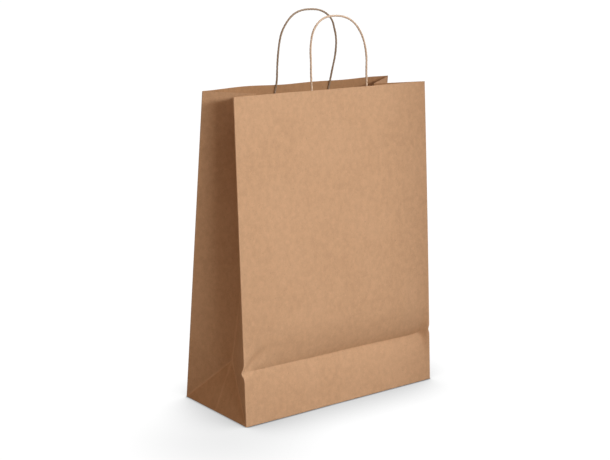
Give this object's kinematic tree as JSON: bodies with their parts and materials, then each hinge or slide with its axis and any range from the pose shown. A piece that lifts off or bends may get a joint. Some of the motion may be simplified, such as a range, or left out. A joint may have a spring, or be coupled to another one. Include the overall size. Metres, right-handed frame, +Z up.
{
  "type": "paper carrier bag",
  "caption": "Plain kraft paper carrier bag with a block bottom, folding side gussets and twisted paper cord handles.",
  "frame": {"origin": "on the floor under the middle of the bottom", "axes": "+Z up towards the open mouth, +X along the long side, the front wall looks along -Y"},
  "size_m": [0.32, 0.14, 0.5151],
  "materials": {
    "kraft_sheet": "matt brown kraft paper with fine fibre flecks",
    "kraft_patch": "matt brown kraft paper strip",
    "paper_cord": "matt twisted paper cord"
  },
  "bodies": {
    "bottom": {"bottom_front_flap": "kraft_sheet", "bottom_back_flap": "kraft_sheet", "bottom_left_flap": "kraft_sheet", "bottom_right_flap": "kraft_sheet"},
    "front_wall": {"front_panel": "kraft_sheet", "front_lower_strip": "kraft_sheet", "front_patch_backing": "kraft_patch", "front_patch_cover": "kraft_patch", "front_handle_cord_ends": "paper_cord"},
    "back_wall": {"back_panel": "kraft_sheet", "side_seam_lap": "kraft_sheet", "rear_patch_backing": "kraft_patch", "rear_patch_cover": "kraft_patch", "rear_handle_cord_ends": "paper_cord"},
    "front_handle": {"front_handle_loop": "paper_cord"},
    "rear_handle": {"rear_handle_loop": "paper_cord"},
    "left_front_wing": {"left_gusset_front_wing": "kraft_sheet"},
    "left_front_fold": {"left_gusset_front_fold": "kraft_sheet"},
    "left_back_wing": {"left_gusset_back_wing": "kraft_sheet"},
    "left_back_fold": {"left_gusset_back_fold": "kraft_sheet"},
    "left_base_triangle": {"left_gusset_base_triangle": "kraft_sheet"},
    "right_front_wing": {"right_gusset_front_wing": "kraft_sheet"},
    "right_front_fold": {"right_gusset_front_fold": "kraft_sheet"},
    "right_back_wing": {"right_gusset_back_wing": "kraft_sheet"},
    "right_back_fold": {"right_gusset_back_fold": "kraft_sheet"},
    "right_base_triangle": {"right_gusset_base_triangle": "kraft_sheet"}
  },
  "joints": [
    {"name": "front_wall_lean", "type": "hinge", "parent": "bottom", "child": "front_wall", "pos_m": [0, -0.07, 0.0006], "axis": [-1, 0, 0], "range_deg": [-2.3, 2.5], "stiffness_Nm_per_rad": 0.3},
    {"name": "back_wall_lean", "type": "hinge", "parent": "bottom", "child": "back_wall", "pos_m": [0, 0.07, 0.0006], "axis": [1, 0, 0], "range_deg": [-2.3, 2.5]},
    {"name": "left_front_wing_turn", "type": "hinge", "parent": "front_wall", "child": "left_front_wing", "pos_m": [-0.16, -0.0695, 0.0006], "axis": [0, -0.0833, -0.9965], "range_deg": [-16.2, 17.6]},
    {"name": "left_front_fold_turn", "type": "hinge", "parent": "left_front_wing", "child": "left_front_fold", "pos_m": [-0.16, -0.0695, 0.0006], "axis": [0.1402, 0.1633, 0.9766], "range_deg": [-16.52, 17.95]},
    {"name": "left_back_wing_turn", "type": "hinge", "parent": "back_wall", "child": "left_back_wing", "pos_m": [-0.16, 0.0695, 0.0006], "axis": [0, -0.0833, 0.9965], "range_deg": [-16.2, 17.6]},
    {"name": "left_back_fold_turn", "type": "hinge", "parent": "left_back_wing", "child": "left_back_fold", "pos_m": [-0.16, 0.0695, 0.0006], "axis": [-0.1402, 0.1633, -0.9766], "range_deg": [-16.52, 17.95]},
    {"name": "left_base_triangle_tilt", "type": "hinge", "parent": "bottom", "child": "left_base_triangle", "pos_m": [-0.16, 0, 0.0006], "axis": [0, 1, 0], "range_deg": [-1.48, 1.6]},
    {"name": "right_front_wing_turn", "type": "hinge", "parent": "front_wall", "child": "right_front_wing", "pos_m": [0.16, -0.0695, 0.0006], "axis": [0, 0.0833, 0.9965], "range_deg": [-16.2, 17.6]},
    {"name": "right_front_fold_turn", "type": "hinge", "parent": "right_front_wing", "child": "right_front_fold", "pos_m": [0.16, -0.0695, 0.0006], "axis": [0.1402, -0.1633, -0.9766], "range_deg": [-16.52, 17.95]},
    {"name": "right_back_wing_turn", "type": "hinge", "parent": "back_wall", "child": "right_back_wing", "pos_m": [0.16, 0.0695, 0.0006], "axis": [0, 0.0833, -0.9965], "range_deg": [-16.2, 17.6]},
    {"name": "right_back_fold_turn", "type": "hinge", "parent": "right_back_wing", "child": "right_back_fold", "pos_m": [0.16, 0.0695, 0.0006], "axis": [-0.1402, -0.1633, 0.9766], "range_deg": [-16.52, 17.95]},
    {"name": "right_base_triangle_tilt", "type": "hinge", "parent": "bottom", "child": "right_base_triangle", "pos_m": [0.16, 0, 0.0006], "axis": [0, -1, 0], "range_deg": [-1.48, 1.6]},
    {"name": "front_handle_swing", "type": "hinge", "parent": "front_wall", "child": "front_handle", "pos_m": [0.006, -0.03295, 0.42097], "axis": [1, 0, 0], "range_deg": [0, 90]},
    {"name": "rear_handle_swing", "type": "hinge", "parent": "back_wall", "child": "rear_handle", "pos_m": [0.006, 0.03295, 0.42097], "axis": [-1, 0, 0], "range_deg": [0, 90]}
  ],
  "couplings": [
    {"joint": "back_wall_lean", "follows": "front_wall_lean", "ratio": 1},
    {"joint": "left_front_wing_turn", "follows": "front_wall_lean", "ratio": 7},
    {"joint": "left_front_fold_turn", "follows": "front_wall_lean", "ratio": 7.14},
    {"joint": "left_back_wing_turn", "follows": "front_wall_lean", "ratio": 7},
    {"joint": "left_back_fold_turn", "follows": "front_wall_lean", "ratio": 7.14},
    {"joint": "left_base_triangle_tilt", "follows": "front_wall_lean", "ratio": 0.6},
    {"joint": "right_front_wing_turn", "follows": "front_wall_lean", "ratio": 7},
    {"joint": "right_front_fold_turn", "follows": "front_wall_lean", "ratio": 7.14},
    {"joint": "right_back_wing_turn", "follows": "front_wall_lean", "ratio": 7},
    {"joint": "right_back_fold_turn", "follows": "front_wall_lean", "ratio": 7.14},
    {"joint": "right_base_triangle_tilt", "follows": "front_wall_lean", "ratio": 0.6}
  ]
}
